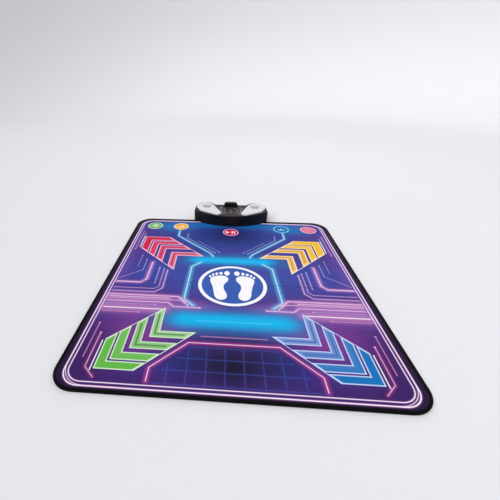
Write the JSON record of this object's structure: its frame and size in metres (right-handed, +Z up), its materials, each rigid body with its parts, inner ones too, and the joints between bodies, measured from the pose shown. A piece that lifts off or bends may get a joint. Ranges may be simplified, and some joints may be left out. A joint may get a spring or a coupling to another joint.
{
  "type": "electronic dance mat",
  "caption": "Folding floor dance mat with sprung arrow zones and round touch keys, joined to a speaker console with a score display.",
  "frame": {"origin": "middle of the mat's underside, on the floor plane", "axes": "+Y from the dancer towards the console, +X to the dancer's right, +Z up"},
  "size_m": [0.9, 1.11, 0.0823],
  "materials": {
    "rubber": "ribbed matt",
    "foam": "open foam",
    "contact_film": "clear film with printed silver contacts",
    "spacer_sheet": "matt",
    "printed_cover": "printed, satin",
    "binding_tape": "woven, stitched",
    "zone_red": "printed, satin",
    "zone_yellow": "printed, satin",
    "zone_green": "printed, satin",
    "zone_blue": "printed, satin",
    "key_green": "printed, satin",
    "key_orange": "printed, satin",
    "key_play": "printed, satin",
    "key_blue": "printed, satin",
    "key_red": "printed, satin",
    "console_black": "satin moulded",
    "pod_white": "gloss moulded",
    "panel_grey": "fine texture",
    "key_white": "moulded",
    "smoked_window": "gloss",
    "display_board": "matt",
    "circuit_board": "solder resist",
    "screw_steel": "zinc plated",
    "contact_brass": "bright",
    "speaker_metal": "pressed",
    "speaker_paper": "pressed paper",
    "cell_wrap": "plastic sleeve",
    "inner_plastic": "moulded"
  },
  "bodies": {
    "rear_half": {"anti_slip_base_rear": "rubber", "foam_base_rear": "foam", "lower_contact_film_rear": "contact_film", "spacer_rear": "spacer_sheet", "upper_contact_film_rear": "contact_film", "play_cover_rear": "printed_cover", "edge_binding_rear": "binding_tape", "membrane_tail": "contact_film", "clamp_bar": "inner_plastic", "case_screw_front_left": "screw_steel", "case_screw_front_right": "screw_steel", "case_screw_rear_left": "screw_steel", "case_screw_rear_right": "screw_steel", "console_base": "console_black", "console_top": "console_black", "rubber_foot": "rubber", "speaker_pod_left": "pod_white", "speaker_driver_left": "speaker_metal", "battery_contacts_left": "contact_brass", "speaker_pod_right": "pod_white", "speaker_driver_right": "speaker_metal", "battery_contacts_right": "contact_brass", "control_panel": "panel_grey", "main_board": "circuit_board", "display_hood": "console_black", "display_window": "smoked_window", "display_module": "display_board", "power_switch_body": "speaker_metal", "audio_socket": "inner_plastic", "battery_box": "inner_plastic", "battery_1": "cell_wrap", "battery_2": "cell_wrap", "battery_3": "cell_wrap", "battery_4": "cell_wrap"},
    "front_half": {"anti_slip_base_front": "rubber", "foam_base_front": "foam", "lower_contact_film_front": "contact_film", "spacer_front": "spacer_sheet", "upper_contact_film_front": "contact_film", "play_cover_front": "printed_cover", "edge_binding_front": "binding_tape"},
    "zone_red": {"step_zone_red": "zone_red"},
    "zone_yellow": {"step_zone_yellow": "zone_yellow"},
    "zone_green": {"step_zone_green": "zone_green"},
    "zone_blue": {"step_zone_blue": "zone_blue"},
    "key_green": {"touch_key_green": "key_green"},
    "key_orange": {"touch_key_orange": "key_orange"},
    "key_play": {"touch_key_play": "key_play"},
    "key_blue": {"touch_key_blue": "key_blue"},
    "key_red": {"touch_key_red": "key_red"},
    "button_1": {"console_key_1": "key_white"},
    "button_2": {"console_key_2": "key_white"},
    "button_3": {"console_key_3": "key_white"},
    "button_4": {"console_key_4": "key_white"},
    "button_5": {"console_key_5": "key_white"},
    "button_6": {"console_key_6": "key_white"},
    "power_knob": {"power_switch_knob": "key_white"},
    "door": {"battery_door": "console_black"},
    "cone_left": {"speaker_cone_left": "speaker_paper"},
    "cone_right": {"speaker_cone_right": "speaker_paper"}
  },
  "joints": [
    {"name": "mat_fold", "type": "hinge", "parent": "rear_half", "child": "front_half", "pos_m": [0, -0.045, 0.01], "axis": [-1, 0, 0], "range_deg": [0, 180]},
    {"name": "zone_red_press", "type": "slide", "parent": "rear_half", "child": "zone_red", "axis": [0, 0, -1], "range_m": [0, 0.0018], "stiffness_N_per_m": 12000, "springref_m": -0.0006},
    {"name": "zone_yellow_press", "type": "slide", "parent": "rear_half", "child": "zone_yellow", "axis": [0, 0, -1], "range_m": [0, 0.0018], "stiffness_N_per_m": 12000, "springref_m": -0.0006},
    {"name": "zone_green_press", "type": "slide", "parent": "front_half", "child": "zone_green", "axis": [0, 0, -1], "range_m": [0, 0.0018], "stiffness_N_per_m": 12000, "springref_m": -0.0006},
    {"name": "zone_blue_press", "type": "slide", "parent": "front_half", "child": "zone_blue", "axis": [0, 0, -1], "range_m": [0, 0.0018], "stiffness_N_per_m": 12000, "springref_m": -0.0006},
    {"name": "key_green_press", "type": "slide", "parent": "rear_half", "child": "key_green", "axis": [0, 0, -1], "range_m": [0, 0.0018], "stiffness_N_per_m": 2500, "springref_m": -0.0006},
    {"name": "key_orange_press", "type": "slide", "parent": "rear_half", "child": "key_orange", "axis": [0, 0, -1], "range_m": [0, 0.0018], "stiffness_N_per_m": 2500, "springref_m": -0.0006},
    {"name": "key_play_press", "type": "slide", "parent": "rear_half", "child": "key_play", "axis": [0, 0, -1], "range_m": [0, 0.0018], "stiffness_N_per_m": 2500, "springref_m": -0.0006},
    {"name": "key_blue_press", "type": "slide", "parent": "rear_half", "child": "key_blue", "axis": [0, 0, -1], "range_m": [0, 0.0018], "stiffness_N_per_m": 2500, "springref_m": -0.0006},
    {"name": "key_red_press", "type": "slide", "parent": "rear_half", "child": "key_red", "axis": [0, 0, -1], "range_m": [0, 0.0018], "stiffness_N_per_m": 2500, "springref_m": -0.0006},
    {"name": "button_1_press", "type": "slide", "parent": "rear_half", "child": "button_1", "axis": [0, 0, -1], "range_m": [0, 0.0008], "stiffness_N_per_m": 800, "springref_m": -0.0008},
    {"name": "button_2_press", "type": "slide", "parent": "rear_half", "child": "button_2", "axis": [0, 0, -1], "range_m": [0, 0.0008], "stiffness_N_per_m": 800, "springref_m": -0.0008},
    {"name": "button_3_press", "type": "slide", "parent": "rear_half", "child": "button_3", "axis": [0, 0, -1], "range_m": [0, 0.0008], "stiffness_N_per_m": 800, "springref_m": -0.0008},
    {"name": "button_4_press", "type": "slide", "parent": "rear_half", "child": "button_4", "axis": [0, 0, -1], "range_m": [0, 0.0008], "stiffness_N_per_m": 800, "springref_m": -0.0008},
    {"name": "button_5_press", "type": "slide", "parent": "rear_half", "child": "button_5", "axis": [0, 0, -1], "range_m": [0, 0.0008], "stiffness_N_per_m": 800, "springref_m": -0.0008},
    {"name": "button_6_press", "type": "slide", "parent": "rear_half", "child": "button_6", "axis": [0, 0, -1], "range_m": [0, 0.0008], "stiffness_N_per_m": 800, "springref_m": -0.0008},
    {"name": "power_slide", "type": "slide", "parent": "rear_half", "child": "power_knob", "axis": [1, 0, 0], "range_m": [0, 0.004]},
    {"name": "battery_door_hinge", "type": "hinge", "parent": "rear_half", "child": "door", "pos_m": [0, 0.5788, 0.0126], "axis": [-1, 0, 0], "range_deg": [0, 95]},
    {"name": "cone_left_travel", "type": "slide", "parent": "rear_half", "child": "cone_left", "axis": [0, 0, 1], "range_m": [-0.0008, 0.0008], "stiffness_N_per_m": 1500},
    {"name": "cone_right_travel", "type": "slide", "parent": "rear_half", "child": "cone_right", "axis": [0, 0, 1], "range_m": [-0.0008, 0.0008], "stiffness_N_per_m": 1500}
  ]
}
